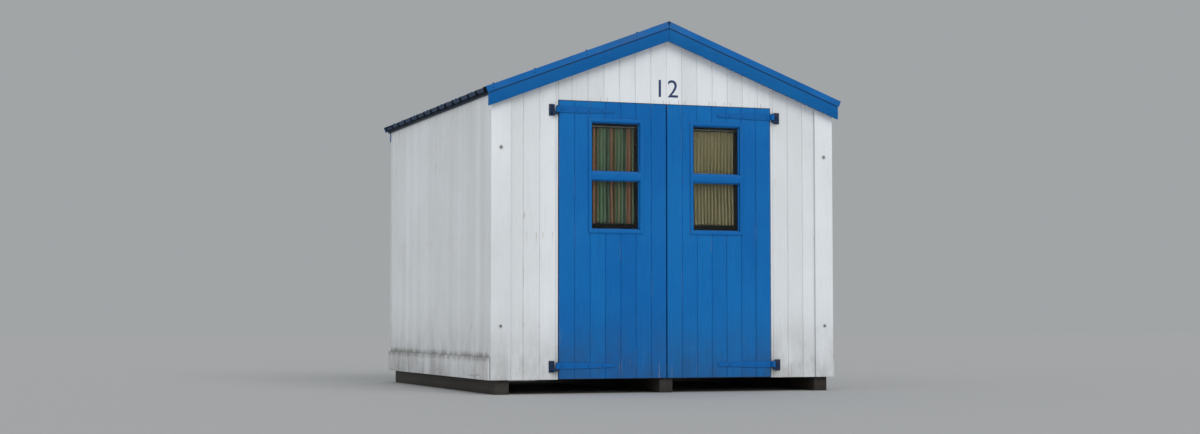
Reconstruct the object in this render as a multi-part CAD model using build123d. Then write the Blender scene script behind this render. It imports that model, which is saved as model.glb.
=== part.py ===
from build123d import *
import math
import os

# Beach hut: white vertical boarding on a light timber frame, a low gable roof of ribbed
# metal sheet, and a pair of blue glazed doors that open outwards on strap hinges.
# Millimetres. X runs across the front, the front faces -Y and Z is up. The origin is the
# middle of the hut at ground level.

# Overall size, over the outer faces of the wall boarding.
HUT_WIDTH = 2600
HUT_DEPTH = 2900
ROOF_PITCH = 21

# Ground timbers and floor.
BEARER_SIZE = 100
BEARER_INSET = 40
BEARER_COUNT = 3
JOIST_WIDTH = 70
JOIST_HEIGHT = 45
JOIST_COUNT = 6
FLOOR_THICKNESS = 18
THRESHOLD_HEIGHT = 20

# Walls.
BOARD_THICKNESS = 18
FRAME_SIZE = 45
RAIL_DEPTH = 45
HEADER_HEIGHT = 70
PLATE_HEIGHT = 70
MIDDLE_RAIL_ABOVE_FLOOR = 930
CORNER_BOARD_WIDTH = 140
CORNER_BOARD_THICKNESS = 16
SKIRTING_HEIGHT = 155
SKIRTING_THICKNESS = 16

# Doorway and door leaves.
DOOR_PAIR_WIDTH = 1610
DOOR_HEIGHT = 1940
EAVE_ABOVE_DOOR = 57
DOOR_CLEARANCE = 5
MEETING_GAP = 8
STOP_WIDTH = 25
DOOR_POST_WIDTH = 70
LEAF_FRAME_THICKNESS = 27
STILE_WIDTH = 95
LEAF_RAIL_HEIGHT = 95

# Window in each leaf. The shift is from the middle of the leaf towards the meeting edge.
WINDOW_WIDTH = 363
WINDOW_HEIGHT = 757
WINDOW_TOP_MARGIN = 140
WINDOW_SHIFT = 20
WINDOW_FRAME_WIDTH = 24
WINDOW_FRAME_PROUD = 6
GLAZING_BAR_HEIGHT = 55
GLASS_THICKNESS = 4
GLASS_REBATE = 8

# Strap hinges that hang on pintles.
PIN_RADIUS = 8
PIN_PLAY = 0.3
STRAP_THICKNESS = 6
STRAP_HEIGHT = 42
STRAP_TIP_HEIGHT = 24
STRAP_LENGTH = 430
STRAP_PARALLEL_SHARE = 0.35
HINGE_TOP_MARGIN = 62
HINGE_BOTTOM_MARGIN = 90
PIN_FROM_LEAF_EDGE = 14
ARM_HEIGHT = 18
PIN_STAND = 6
PINTLE_PLATE_WIDTH = 40
PINTLE_PLATE_HEIGHT = 80
PINTLE_PLATE_THICKNESS = 6

# Curtains on rods inside the leaves. The brackets stand on the window frames.
CURTAIN_THICKNESS = 26
CURTAIN_SIDE_GAP = 18
CURTAIN_BOTTOM_GAP = 43
CURTAIN_GAP = 4
ROD_RADIUS = 5
ROD_DROP = 24
ROD_BRACKET_WIDTH = 12
ROD_BRACKET_MARGIN = 2

# Roof.
SIDE_OVERHANG = 40
VERGE_OVERHANG = 35
PURLIN_WIDTH = 45
PURLIN_DEPTH = 80
PURLIN_OFFSET = 640
RIDGE_BEAM_DEPTH = 95
SHEET_THICKNESS = 0.7
RIB_COUNT = 15
RIB_HEIGHT = 30
RIB_BASE = 66
RIB_CROWN = 28
SHEET_EDGE = 8
RIDGE_OPENING = 20
RIDGE_CAP_WING = 150
RIDGE_CAP_THICKNESS = 1.0
BARGE_THICKNESS = 22
BARGE_HEIGHT = 140
BARGE_OVERHANG = 30
BARGE_JOINT = 2
VERGE_CAP_THICKNESS = 1.0
VERGE_CAP_FACE = 42
VERGE_CAP_LAP = 70
VERGE_CAP_PAST_END = 12
EAVE_BOARD_THICKNESS = 18
EAVE_BOARD_HEIGHT = 32

# How far a cutter reaches past the piece that it cuts.
CUT_MARGIN = 1

# Planes worked out from the sizes above.
half_width = HUT_WIDTH / 2
half_depth = HUT_DEPTH / 2
wall_bottom = BEARER_SIZE
floor_top = BEARER_SIZE + JOIST_HEIGHT + FLOOR_THICKNESS
inner_x = half_width - BOARD_THICKNESS
inner_y = half_depth - BOARD_THICKNESS
frame_x = inner_x - FRAME_SIZE
frame_y = inner_y - FRAME_SIZE
pitch = math.radians(ROOF_PITCH)
slope = math.tan(pitch)
roof_at_wall = wall_bottom + DOOR_HEIGHT + EAVE_ABOVE_DOOR
verge_y = half_depth + VERGE_OVERHANG
door_edge = DOOR_PAIR_WIDTH / 2
opening_edge = door_edge + DOOR_CLEARANCE
post_inner = door_edge - STOP_WIDTH
post_outer = post_inner + DOOR_POST_WIDTH
leaf_bottom = wall_bottom + DOOR_CLEARANCE
leaf_top = wall_bottom + DOOR_HEIGHT
opening_top = leaf_top + DOOR_CLEARANCE
header_bottom = leaf_top - STOP_WIDTH
header_top = header_bottom + HEADER_HEIGHT
leaf_face = half_depth + DOOR_CLEARANCE
leaf_back = leaf_face - BOARD_THICKNESS
leaf_inside = leaf_back - LEAF_FRAME_THICKNESS
crown = RIB_HEIGHT + SHEET_THICKNESS


def roof_z(x):
    """Height of the roof plane, on which the sheets lie, at a distance x from the middle."""
    return roof_at_wall + (half_width - abs(x)) * slope


def above_roof(x, distance):
    """Height of a line that lies the given distance above the roof plane, at right angles."""
    return roof_z(x) + distance / math.cos(pitch)


def block(x, y, z):
    """A plain timber or slab. x, y and z are its low and high limits."""
    size = Box(x[1] - x[0], y[1] - y[0], z[1] - z[0], align=(Align.MIN, Align.MIN, Align.MIN))
    return Pos(x[0], y[0], z[0]) * size


def prism(points, y):
    """An outline in X and Z that runs from y[0] to y[1]."""
    outline = Wire.make_polygon([(px, y[0], pz) for px, pz in points], close=True)
    return extrude(Face(outline), amount=y[1] - y[0], dir=(0, 1, 0))


def strip(points, thickness):
    """The outline of a folded strip: the given line and one parallel to it on its left."""
    count = len(points)
    turned = []
    for i in range(count):
        before = points[max(i - 1, 0)]
        here = points[i]
        after = points[min(i + 1, count - 1)]
        normals = []
        for start, end in ((before, here), (here, after)):
            dx, dy = end[0] - start[0], end[1] - start[1]
            length = math.hypot(dx, dy)
            if length > 0:
                normals.append((-dy / length, dx / length))
        nx = sum(n[0] for n in normals) / len(normals)
        ny = sum(n[1] for n in normals) / len(normals)
        scale = thickness / (nx * nx + ny * ny)
        turned.append((here[0] + nx * scale, here[1] + ny * scale))
    return list(points) + turned[::-1]


def both_sides(piece):
    """A piece and its mirror image across the middle of the hut."""
    return [piece, mirror(piece, about=Plane.YZ)]


def front_and_back(piece):
    """A piece and its mirror image from front to back."""
    return [piece, mirror(piece, about=Plane.XZ)]


def solids_of(pieces):
    """All solids of a piece or of a list of pieces."""
    if isinstance(pieces, (list, tuple)):
        return [solid for piece in pieces for solid in solids_of(piece)]
    return list(pieces.solids())


def save(name, pieces):
    """Writes one named part of the hut, which may hold several like pieces."""
    solids = solids_of(pieces)
    shape = solids[0] if len(solids) == 1 else Compound(children=solids)
    export_step(shape, "parts/" + name + ".step")


def spread(low, high, count):
    """Evenly spaced places from low to high."""
    return [low + (high - low) * i / (count - 1) for i in range(count)]


# Ground timbers, floor and threshold

def make_bearers():
    places = spread(-half_width + BEARER_INSET, half_width - BEARER_INSET - BEARER_SIZE, BEARER_COUNT)
    ends = (-inner_y, inner_y)
    return [block((x, x + BEARER_SIZE), ends, (0, BEARER_SIZE)) for x in places]


def make_floor_joists():
    places = spread(-inner_y, inner_y - JOIST_WIDTH, JOIST_COUNT)
    height = (BEARER_SIZE, BEARER_SIZE + JOIST_HEIGHT)
    return [block((-inner_x, inner_x), (y, y + JOIST_WIDTH), height) for y in places]


def make_floor_boards():
    height = (BEARER_SIZE + JOIST_HEIGHT, floor_top)
    return block((-inner_x, inner_x), (-inner_y, inner_y), height)


def make_threshold():
    height = (floor_top, floor_top + THRESHOLD_HEIGHT)
    return block((-post_inner, post_inner), (-inner_y, -frame_y), height)


# Roof timbers

def make_ridge_beam():
    half = PURLIN_WIDTH / 2
    bottom = roof_z(0) - RIDGE_BEAM_DEPTH
    outline = [(-half, bottom), (half, bottom), (half, roof_z(half)), (0, roof_z(0)), (-half, roof_z(half))]
    return prism(outline, (-verge_y, verge_y))


def make_purlin():
    along = (math.cos(pitch) * PURLIN_WIDTH / 2, -math.sin(pitch) * PURLIN_WIDTH / 2)
    down = (-math.sin(pitch) * PURLIN_DEPTH, -math.cos(pitch) * PURLIN_DEPTH)
    top = (PURLIN_OFFSET, roof_z(PURLIN_OFFSET))
    outline = [
        (top[0] - along[0], top[1] - along[1]),
        (top[0] + along[0], top[1] + along[1]),
        (top[0] + along[0] + down[0], top[1] + along[1] + down[1]),
        (top[0] - along[0] + down[0], top[1] - along[1] + down[1]),
    ]
    return prism(outline, (-verge_y, verge_y))


plate_bottom = roof_z(inner_x) - PLATE_HEIGHT


def make_wall_plate():
    outline = [
        (frame_x, plate_bottom),
        (inner_x, plate_bottom),
        (inner_x, roof_z(inner_x)),
        (frame_x, roof_z(frame_x)),
    ]
    return prism(outline, (-verge_y, verge_y))


def make_gable_studs(roof_timbers):
    """Short studs that carry the ridge beam and the purlins over the front and back walls."""
    half = FRAME_SIZE / 2
    studs = []
    for x in (-PURLIN_OFFSET, 0, PURLIN_OFFSET):
        top = roof_z(x) - RIDGE_BEAM_DEPTH / 2
        stud = block((x - half, x + half), (-inner_y, -frame_y), (header_top, top))
        for timber in roof_timbers:
            stud = stud - timber
        lowest = min(solids_of(stud), key=lambda solid: solid.bounding_box().min.Z)
        studs.extend(front_and_back(lowest))
    return studs


# Wall frame

def make_wall_posts():
    height = (floor_top, plate_bottom)
    half = FRAME_SIZE / 2
    corner = block((frame_x, inner_x), (frame_y, inner_y), height)
    side = block((frame_x, inner_x), (-half, half), height)
    back = block((-half, half), (frame_y, inner_y), (floor_top, header_bottom))
    corners = [post for one in both_sides(corner) for post in front_and_back(one)]
    return corners + both_sides(side) + [back]


def rail_heights():
    """Height limits of the bottom rail and of the middle rail."""
    middle = floor_top + MIDDLE_RAIL_ABOVE_FLOOR
    return [(floor_top, floor_top + RAIL_DEPTH), (middle, middle + RAIL_DEPTH)]


def make_side_wall_rails():
    rails = []
    for height in rail_heights():
        rail = block((frame_x, inner_x), (FRAME_SIZE / 2, frame_y), height)
        rails.extend(piece for one in both_sides(rail) for piece in front_and_back(one))
    return rails


def make_back_wall_rails():
    rails = []
    for height in rail_heights():
        rails.extend(both_sides(block((FRAME_SIZE / 2, frame_x), (frame_y, inner_y), height)))
    top = block((-frame_x, frame_x), (frame_y, inner_y), (header_bottom, header_top))
    return rails + [top]


def make_front_wall_rails():
    rails = []
    for height in rail_heights() + [(header_bottom, header_top)]:
        rails.extend(both_sides(block((post_outer, frame_x), (-inner_y, -frame_y), height)))
    return rails


def make_door_posts():
    return both_sides(block((post_inner, post_outer), (-inner_y, -frame_y), (floor_top, header_bottom)))


def make_door_header():
    return block((-post_outer, post_outer), (-inner_y, -frame_y), (header_bottom, header_top))


# Boarding

def make_side_wall():
    outline = [
        (inner_x, wall_bottom),
        (half_width, wall_bottom),
        (half_width, roof_at_wall),
        (inner_x, roof_z(inner_x)),
    ]
    return prism(outline, (-inner_y, inner_y))


def notch(boarding, roof_timbers):
    for timber in roof_timbers:
        boarding = boarding - timber
    return boarding


def make_back_wall(roof_timbers):
    outline = [
        (-half_width, wall_bottom),
        (half_width, wall_bottom),
        (half_width, roof_at_wall),
        (0, roof_z(0)),
        (-half_width, roof_at_wall),
    ]
    return notch(prism(outline, (inner_y, half_depth)), roof_timbers)


def make_front_wall_right(roof_timbers):
    outline = [
        (opening_edge, wall_bottom),
        (half_width, wall_bottom),
        (half_width, roof_at_wall),
        (opening_edge, roof_z(opening_edge)),
    ]
    return notch(prism(outline, (-half_depth, -inner_y)), roof_timbers)


def make_front_gable(roof_timbers):
    outline = [
        (-opening_edge, opening_top),
        (opening_edge, opening_top),
        (opening_edge, roof_z(opening_edge)),
        (0, roof_z(0)),
        (-opening_edge, roof_z(opening_edge)),
    ]
    return notch(prism(outline, (-half_depth, -inner_y)), roof_timbers)


def make_corner_boards():
    """Cover boards at the four corners, cut to the slope under the barge boards."""
    inside = half_width - CORNER_BOARD_WIDTH
    outline = [
        (inside, wall_bottom),
        (half_width, wall_bottom),
        (half_width, roof_at_wall),
        (inside, roof_z(inside)),
    ]
    board = prism(outline, (-half_depth - CORNER_BOARD_THICKNESS, -half_depth))
    board = board - make_wall_plate()
    return [piece for one in both_sides(board) for piece in front_and_back(one)]


def make_skirting_boards():
    height = (wall_bottom, wall_bottom + SKIRTING_HEIGHT)
    side = block((half_width, half_width + SKIRTING_THICKNESS), (-half_depth, half_depth), height)
    back_end = half_width - CORNER_BOARD_WIDTH
    back = block((-back_end, back_end), (half_depth, half_depth + SKIRTING_THICKNESS), height)
    return both_sides(side) + [back]


# Roof covering

def make_roof_sheet():
    """Ribbed sheet on the right slope. Its ribs run from the ridge down to the eave."""
    outermost = verge_y - SHEET_EDGE - RIB_BASE / 2
    line = [(-verge_y, 0)]
    for middle in spread(-outermost, outermost, RIB_COUNT):
        line.append((middle - RIB_BASE / 2, 0))
        line.append((middle - RIB_CROWN / 2, RIB_HEIGHT))
        line.append((middle + RIB_CROWN / 2, RIB_HEIGHT))
        line.append((middle + RIB_BASE / 2, 0))
    line.append((verge_y, 0))
    start = RIDGE_OPENING
    end = (half_width + SIDE_OVERHANG) / math.cos(pitch)
    downhill = Vector(math.cos(pitch), 0, -math.sin(pitch))
    ridge_point = Vector(0, 0, roof_z(0))
    section = Plane(origin=ridge_point + downhill * start, x_dir=(0, 1, 0), z_dir=downhill)
    outline = [section.from_local_coords((y, n, 0)) for y, n in strip(line, SHEET_THICKNESS)]
    return extrude(Face(Wire.make_polygon(outline, close=True)), amount=end - start, dir=downhill)


def make_ridge_cap():
    """Folded cap that lies on the verge caps and over the upper ends of both sheets."""
    lift = crown + VERGE_CAP_THICKNESS
    reach = RIDGE_CAP_WING * math.cos(pitch)
    line = [(x, above_roof(x, lift)) for x in (-reach, 0, reach)]
    end = verge_y + BARGE_THICKNESS
    return prism(strip(line, RIDGE_CAP_THICKNESS), (-end, end))


def barge_board(low, depth):
    """Board on the end of the right slope's timbers, from the ridge down to its low end."""
    high = BARGE_JOINT / 2
    outline = [
        (high, above_roof(high, crown)),
        (low, above_roof(low, crown)),
        (low, above_roof(low, crown) - BARGE_HEIGHT),
        (high, above_roof(high, crown) - BARGE_HEIGHT),
    ]
    return prism(outline, depth)


def make_barge_boards():
    """Boards up to the crowns of the sheet's ribs. Only the front pair passes the side walls."""
    front = barge_board(half_width + BARGE_OVERHANG, (-verge_y - BARGE_THICKNESS, -verge_y))
    back = barge_board(half_width, (verge_y, verge_y + BARGE_THICKNESS))
    return both_sides(front) + both_sides(back)


def make_verge_caps():
    """Folded trims that cover the top of a barge board and the first rib of the sheet."""
    t = VERGE_CAP_THICKNESS
    face = -verge_y - BARGE_THICKNESS
    inside = -verge_y + VERGE_CAP_LAP
    start = BARGE_JOINT
    end = (half_width + BARGE_OVERHANG + VERGE_CAP_PAST_END) / math.cos(pitch)
    downhill = Vector(math.cos(pitch), 0, -math.sin(pitch))
    ridge_point = Vector(0, 0, roof_z(0))
    section = Plane(origin=ridge_point + downhill * start, x_dir=(0, 1, 0), z_dir=downhill)
    points = [
        (inside, crown),
        (inside, crown + t),
        (face - t, crown + t),
        (face - t, crown - VERGE_CAP_FACE),
        (face, crown - VERGE_CAP_FACE),
        (face, crown),
    ]
    outline = [section.from_local_coords((y, n, 0)) for y, n in points]
    trim = extrude(Face(Wire.make_polygon(outline, close=True)), amount=end - start, dir=downhill)
    return [piece for one in both_sides(trim) for piece in front_and_back(one)]


def make_eave_boards():
    """Strips under the eaves, from the front barge boards past the ends of the back ones."""
    outer = half_width + EAVE_BOARD_THICKNESS
    bottom = roof_at_wall - EAVE_BOARD_HEIGHT
    outline = [
        (half_width, bottom),
        (outer, bottom),
        (outer, roof_z(outer)),
        (half_width, roof_at_wall),
    ]
    return both_sides(prism(outline, (-verge_y, verge_y + BARGE_THICKNESS)))


# Door leaves, modelled for the right side and mirrored where the two are alike

hinge_x = door_edge + PIN_FROM_LEAF_EDGE
eye_radius = PIN_RADIUS + PIN_PLAY + STRAP_THICKNESS
hinge_y = -(leaf_face + eye_radius)
hinge_heights = (leaf_bottom + HINGE_BOTTOM_MARGIN, leaf_top - HINGE_TOP_MARGIN)
leaf_width = door_edge - MEETING_GAP / 2
leaf_middle = MEETING_GAP / 2 + leaf_width / 2
window_top = leaf_top - WINDOW_TOP_MARGIN
window_bottom = window_top - WINDOW_HEIGHT
bar_middle = (window_top + window_bottom) / 2


def window_limits(side, margin):
    """Limits in X and Z of the sight opening of a leaf's window, grown by a margin."""
    middle = side * (leaf_middle - WINDOW_SHIFT)
    half = WINDOW_WIDTH / 2 + margin
    return (middle - half, middle + half), (window_bottom - margin, window_top + margin)


def side_limits(side, low, high):
    """Limits in X of a piece that lies from low to high on the right leaf."""
    return (low, high) if side > 0 else (-high, -low)


def make_leaf_boards(side):
    x = side_limits(side, MEETING_GAP / 2, door_edge)
    boards = block(x, (-leaf_face, -leaf_back), (leaf_bottom, leaf_top))
    hole_x, hole_z = window_limits(side, WINDOW_FRAME_WIDTH)
    return boards - block(hole_x, (-leaf_face - CUT_MARGIN, -leaf_back + CUT_MARGIN), hole_z)


leaf_frame_bottom = floor_top + THRESHOLD_HEIGHT + DOOR_CLEARANCE
leaf_frame_top = header_bottom - DOOR_CLEARANCE
leaf_frame_outer = post_inner - DOOR_CLEARANCE


def make_leaf_stiles(side):
    height = (leaf_frame_bottom, leaf_frame_top)
    depth = (-leaf_back, -leaf_inside)
    inner = side_limits(side, MEETING_GAP / 2, MEETING_GAP / 2 + STILE_WIDTH)
    outer = side_limits(side, leaf_frame_outer - STILE_WIDTH, leaf_frame_outer)
    return [block(inner, depth, height), block(outer, depth, height)]


def make_leaf_rails(side):
    depth = (-leaf_back, -leaf_inside)
    x = side_limits(side, MEETING_GAP / 2 + STILE_WIDTH, leaf_frame_outer - STILE_WIDTH)
    under_window = window_bottom - WINDOW_FRAME_WIDTH
    over_window = window_top + WINDOW_FRAME_WIDTH
    return [
        block(x, depth, (leaf_frame_bottom, leaf_frame_bottom + LEAF_RAIL_HEIGHT)),
        block(x, depth, (under_window - LEAF_RAIL_HEIGHT, under_window)),
        block(x, depth, (over_window, leaf_frame_top)),
    ]


window_front = leaf_face + WINDOW_FRAME_PROUD
window_back = leaf_inside
glass_y = -(leaf_face + leaf_inside) / 2


def make_window_frame(side):
    """Frame with one glazing bar. The panes sit in rebates at mid depth."""
    outer_x, outer_z = window_limits(side, WINDOW_FRAME_WIDTH)
    sight_x, sight_z = window_limits(side, 0)
    depth = (-window_front, -window_back)
    through = (depth[0] - CUT_MARGIN, depth[1] + CUT_MARGIN)
    bar = (bar_middle - GLAZING_BAR_HEIGHT / 2, bar_middle + GLAZING_BAR_HEIGHT / 2)
    frame = block(outer_x, depth, outer_z)
    frame = frame - block(sight_x, through, (sight_z[0], bar[0]))
    frame = frame - block(sight_x, through, (bar[1], sight_z[1]))
    for pane in make_window_panes(side):
        frame = frame - pane
    return frame


def make_window_panes(side):
    sight_x, sight_z = window_limits(side, 0)
    x = (sight_x[0] - GLASS_REBATE, sight_x[1] + GLASS_REBATE)
    y = (glass_y - GLASS_THICKNESS / 2, glass_y + GLASS_THICKNESS / 2)
    bar = (bar_middle - GLAZING_BAR_HEIGHT / 2, bar_middle + GLAZING_BAR_HEIGHT / 2)
    lower = block(x, y, (sight_z[0] - GLASS_REBATE, bar[0] + GLASS_REBATE))
    upper = block(x, y, (bar[1] - GLASS_REBATE, sight_z[1] + GLASS_REBATE))
    return [lower, upper]


def make_strap(z):
    """Tapered strap with a rounded tip and an eye rolled round the pin, for the right leaf."""
    back = -leaf_face
    front = back - STRAP_THICKNESS
    eye = Pos(hinge_x, hinge_y, z) * Cylinder(eye_radius, STRAP_HEIGHT)
    bore = Pos(hinge_x, hinge_y, z) * Cylinder(PIN_RADIUS + PIN_PLAY, STRAP_HEIGHT + 2 * CUT_MARGIN)
    tip_x = hinge_x - STRAP_LENGTH
    half = STRAP_HEIGHT / 2
    tip = STRAP_TIP_HEIGHT / 2
    taper_start = hinge_x - STRAP_LENGTH * STRAP_PARALLEL_SHARE
    outline = [
        (hinge_x, back, z - half),
        (hinge_x, back, z + half),
        (taper_start, back, z + half),
        (tip_x + tip, back, z + tip),
        (tip_x + tip, back, z - tip),
        (taper_start, back, z - half),
    ]
    blade = extrude(Face(Wire.make_polygon(outline, close=True)), amount=STRAP_THICKNESS, dir=(0, -1, 0))
    end_disc = Pos(tip_x + tip, (back + front) / 2, z) * Rot(90, 0, 0) * Cylinder(tip, STRAP_THICKNESS)
    return (eye + blade + end_disc) - bore


def make_straps(side):
    straps = [make_strap(z) for z in hinge_heights]
    if side > 0:
        return straps
    return [mirror(strap, about=Plane.YZ) for strap in straps]


def make_pintle(z):
    """Upright pin on an arm that stands on a wall plate, for the right side."""
    eye_bottom = z - STRAP_HEIGHT / 2
    arm_top = eye_bottom - PIN_PLAY
    arm_bottom = arm_top - ARM_HEIGHT
    plate_start = hinge_x + eye_radius + DOOR_CLEARANCE
    plate_y = (-half_depth - PINTLE_PLATE_THICKNESS, -half_depth)
    plate_middle = (arm_bottom + z + STRAP_HEIGHT / 2 + PIN_STAND) / 2
    plate_z = (plate_middle - PINTLE_PLATE_HEIGHT / 2, plate_middle + PINTLE_PLATE_HEIGHT / 2)
    plate = block((plate_start, plate_start + PINTLE_PLATE_WIDTH), plate_y, plate_z)
    arm_end = plate_start + PINTLE_PLATE_WIDTH / 2
    arm = block((hinge_x, arm_end), (hinge_y - PIN_RADIUS, plate_y[0]), (arm_bottom, arm_top))
    pin_length = ARM_HEIGHT + STRAP_HEIGHT + PIN_STAND
    pin = Pos(hinge_x, hinge_y, arm_bottom) * Cylinder(
        PIN_RADIUS, pin_length, align=(Align.CENTER, Align.CENTER, Align.MIN))
    return plate + arm + pin


def make_hinge_pintles():
    return [piece for z in hinge_heights for piece in both_sides(make_pintle(z))]


curtain_y = (-window_back + CURTAIN_GAP, -window_back + CURTAIN_GAP + CURTAIN_THICKNESS)
rod_y = (curtain_y[0] + curtain_y[1]) / 2
rod_z = window_top - ROD_DROP


def make_curtain(side):
    x = window_limits(side, -CURTAIN_SIDE_GAP)[0]
    return block(x, curtain_y, (window_bottom + CURTAIN_BOTTOM_GAP, rod_z - ROD_RADIUS - PIN_PLAY))


def make_curtain_rod(side):
    """A thin rod between two end brackets that stand on the sides of the window frame."""
    ends = window_limits(side, WINDOW_FRAME_WIDTH / 2)[0]
    middle = (ends[0] + ends[1]) / 2
    rod = Pos(middle, rod_y, rod_z) * Rot(0, 90, 0) * Cylinder(ROD_RADIUS, ends[1] - ends[0])
    half = ROD_RADIUS + ROD_BRACKET_MARGIN
    for end in ends:
        x = (end - ROD_BRACKET_WIDTH / 2, end + ROD_BRACKET_WIDTH / 2)
        rod = rod + block(x, (-window_back, rod_y + half), (rod_z - half, rod_z + half))
    return rod


def main():
    os.makedirs("parts", exist_ok=True)
    roof_timbers = [make_ridge_beam()] + both_sides(make_purlin()) + both_sides(make_wall_plate())

    save("bearers", make_bearers())
    save("floor_joists", make_floor_joists())
    save("floor_boards", make_floor_boards())
    save("threshold", make_threshold())

    save("wall_posts", make_wall_posts())
    save("side_wall_rails", make_side_wall_rails())
    save("back_wall_rails", make_back_wall_rails())
    save("front_wall_rails", make_front_wall_rails())
    save("door_posts", make_door_posts())
    save("door_header", make_door_header())
    save("wall_plates", both_sides(make_wall_plate()))
    save("gable_studs", make_gable_studs(roof_timbers))

    right_wall, left_wall = both_sides(make_side_wall())
    save("left_wall", left_wall)
    save("right_wall", right_wall)
    save("back_wall", make_back_wall(roof_timbers))
    front_right, front_left = both_sides(make_front_wall_right(roof_timbers))
    save("front_wall_left", front_left)
    save("front_wall_right", front_right)
    save("front_gable", make_front_gable(roof_timbers))
    save("corner_boards", make_corner_boards())
    save("skirting_boards", make_skirting_boards())

    save("ridge_beam", make_ridge_beam())
    save("purlins", both_sides(make_purlin()))
    right_sheet, left_sheet = both_sides(make_roof_sheet())
    save("left_roof_sheet", left_sheet)
    save("right_roof_sheet", right_sheet)
    save("ridge_cap", make_ridge_cap())
    save("barge_boards", make_barge_boards())
    save("verge_caps", make_verge_caps())
    save("eave_boards", make_eave_boards())
    save("hinge_pintles", make_hinge_pintles())

    for name, side in (("left", -1), ("right", 1)):
        save(name + "_door_boards", make_leaf_boards(side))
        save(name + "_door_stiles", make_leaf_stiles(side))
        save(name + "_door_rails", make_leaf_rails(side))
        save(name + "_window_frame", make_window_frame(side))
        save(name + "_window_panes", make_window_panes(side))
        save(name + "_door_straps", make_straps(side))
        save(name + "_curtain_rod", make_curtain_rod(side))
        save(name + "_curtain", make_curtain(side))


main()
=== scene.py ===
"""Finish of the beach hut, built around its solids. Metres, +Z up, the front faces -Y."""
import math
import random

import bmesh
import bpy
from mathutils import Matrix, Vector, noise
from mathutils.bvhtree import BVHTree


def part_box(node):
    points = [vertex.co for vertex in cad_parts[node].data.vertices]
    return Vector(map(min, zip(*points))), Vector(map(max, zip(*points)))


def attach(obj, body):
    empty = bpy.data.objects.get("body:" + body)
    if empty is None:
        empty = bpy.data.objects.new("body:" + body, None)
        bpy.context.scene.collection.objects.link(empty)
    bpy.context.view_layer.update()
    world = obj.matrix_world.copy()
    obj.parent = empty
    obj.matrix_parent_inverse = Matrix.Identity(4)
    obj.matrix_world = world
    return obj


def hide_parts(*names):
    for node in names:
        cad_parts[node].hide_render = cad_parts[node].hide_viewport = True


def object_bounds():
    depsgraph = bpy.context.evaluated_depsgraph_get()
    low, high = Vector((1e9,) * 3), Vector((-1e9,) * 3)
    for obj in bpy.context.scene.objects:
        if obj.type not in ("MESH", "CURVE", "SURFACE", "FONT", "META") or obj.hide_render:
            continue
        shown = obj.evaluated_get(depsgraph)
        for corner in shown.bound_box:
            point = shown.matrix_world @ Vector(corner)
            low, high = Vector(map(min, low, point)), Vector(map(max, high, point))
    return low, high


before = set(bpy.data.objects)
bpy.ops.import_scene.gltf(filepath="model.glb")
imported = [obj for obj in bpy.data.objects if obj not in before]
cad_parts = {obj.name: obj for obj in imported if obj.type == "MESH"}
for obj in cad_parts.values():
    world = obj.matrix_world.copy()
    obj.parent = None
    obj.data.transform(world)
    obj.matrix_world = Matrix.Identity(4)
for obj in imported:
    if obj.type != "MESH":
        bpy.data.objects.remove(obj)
cad_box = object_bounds()

UP = Vector((0, 0, 1))
SHARP = math.radians(32)
COPLANAR = math.radians(1.0)
TOUCHING = 1e-6
SIDES = (-1, 1)
CORNERS = [(side, end) for side in SIDES for end in SIDES]
HANDS = ("left", "right")

# Places read from the solids.
gable_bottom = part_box("front_gable")[0].z
left_low, left_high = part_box("left_wall")
back_low, back_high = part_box("back_wall")
floor_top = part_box("floor_boards")[1].z
HALF_WIDTH = back_high.x
HALF_DEPTH = back_high.y
BOARD_THICKNESS = back_high.y - back_low.y
WALL_BOTTOM = back_low.z
RIDGE_Z = back_high.z
PITCH = math.radians(21)
ROOF_SLOPE = math.tan(PITCH)
VERGE_CAP_FACE = 0.042

# Boarding.
WALL_BOARD_WIDTH = 0.1182
LEAF_BOARDS = 7
V_JOINT = 0.0038
CUT_EDGE = 0.001
BACK_EASE = 0.0017
BOARD_SHIFT = 0.0007
NARROWEST_BOARD = 0.014
NAIL_HEAD = [(0.0034, 0), (0.0034, 0.00084), (0.00238, 0.00119)]
NAIL_SIDES = 8
NAIL_SWAY = 0.006
NAIL_FROM_EDGE = 0.024
ONE_NAIL_WIDTH = 2.6 * NAIL_FROM_EDGE
LEAF_NAIL_RISES = (0.135, 0.84)
LEAF_NAIL_DROP = 0.099
RAIL_MIDDLE = 0.0225
MIDDLE_RAIL_RISE = 0.93
HEADER_NAILS = 0.026
low_rail = floor_top + RAIL_MIDDLE
rail_rows = [low_rail, low_rail + MIDDLE_RAIL_RISE, gable_bottom + HEADER_NAILS]
side_length = left_high.y - left_low.y
side_width = side_length / round(side_length / WALL_BOARD_WIDTH)

# Colours, linear, as albedo.
WHITE = (0.775, 0.8, 0.825)
WHITE_OLD = (0.675, 0.695, 0.71)
BLUE = (0.001, 0.119, 0.392)
BLUE_OLD = (0.003, 0.156, 0.454)
# Near-black navy, painted shade: the colour of the eave boards, which stand in the shade of the roof, and
# of a line below the verge caps.
SHADE_NAVY = (0.006, 0.017, 0.035)
NUMBER_BLUE = (0.008, 0.03, 0.125)
NUMBER_BLUE_OLD = (0.012, 0.045, 0.16)
ROOF_BLUE = (0.003, 0.074, 0.25)
TRIM_BLUE = (0.001, 0.106, 0.346)
STRAP_BLUE = (0.001, 0.113, 0.376)
PLATE_NAVY = (0.003, 0.025, 0.07)
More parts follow.
